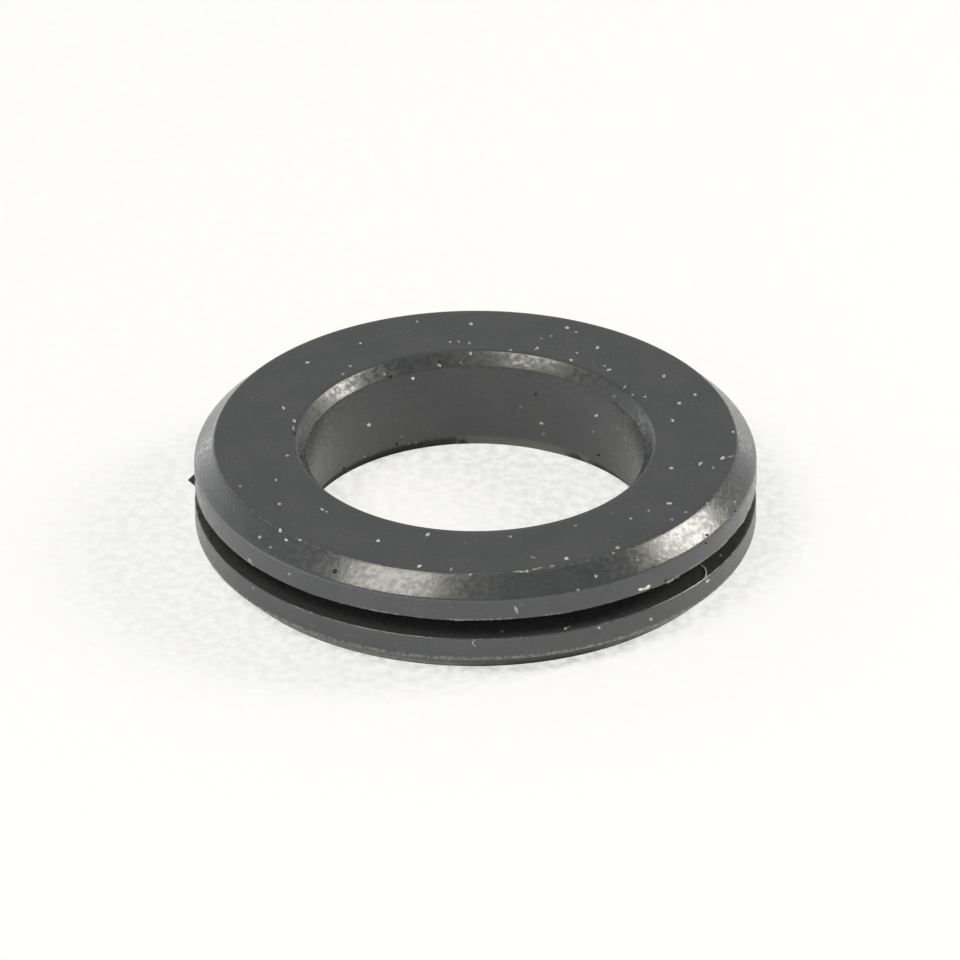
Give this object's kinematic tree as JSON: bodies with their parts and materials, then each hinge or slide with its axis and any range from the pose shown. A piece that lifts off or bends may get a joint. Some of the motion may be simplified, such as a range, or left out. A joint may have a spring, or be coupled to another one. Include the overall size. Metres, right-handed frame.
{
  "type": "fuel filter head gasket",
  "caption": "Round black moulded rubber gasket ring with bevelled rims, a square groove round the outside and a straight chamfered bore.",
  "frame": {"origin": "centre of the lower flat face, on the bore's axis", "axes": "+Z along the bore's axis, up out of the upper face; +X to the right and -Y towards the camera in the picture; the flash tag points to -X"},
  "size_m": [0.0303, 0.03, 0.0057],
  "materials": {
    "rubber": "matt moulded black rubber with a fine grain, dust and a little bloom"
  },
  "bodies": {
    "root": {"gasket_ring": "rubber"}
  },
  "joints": []
}
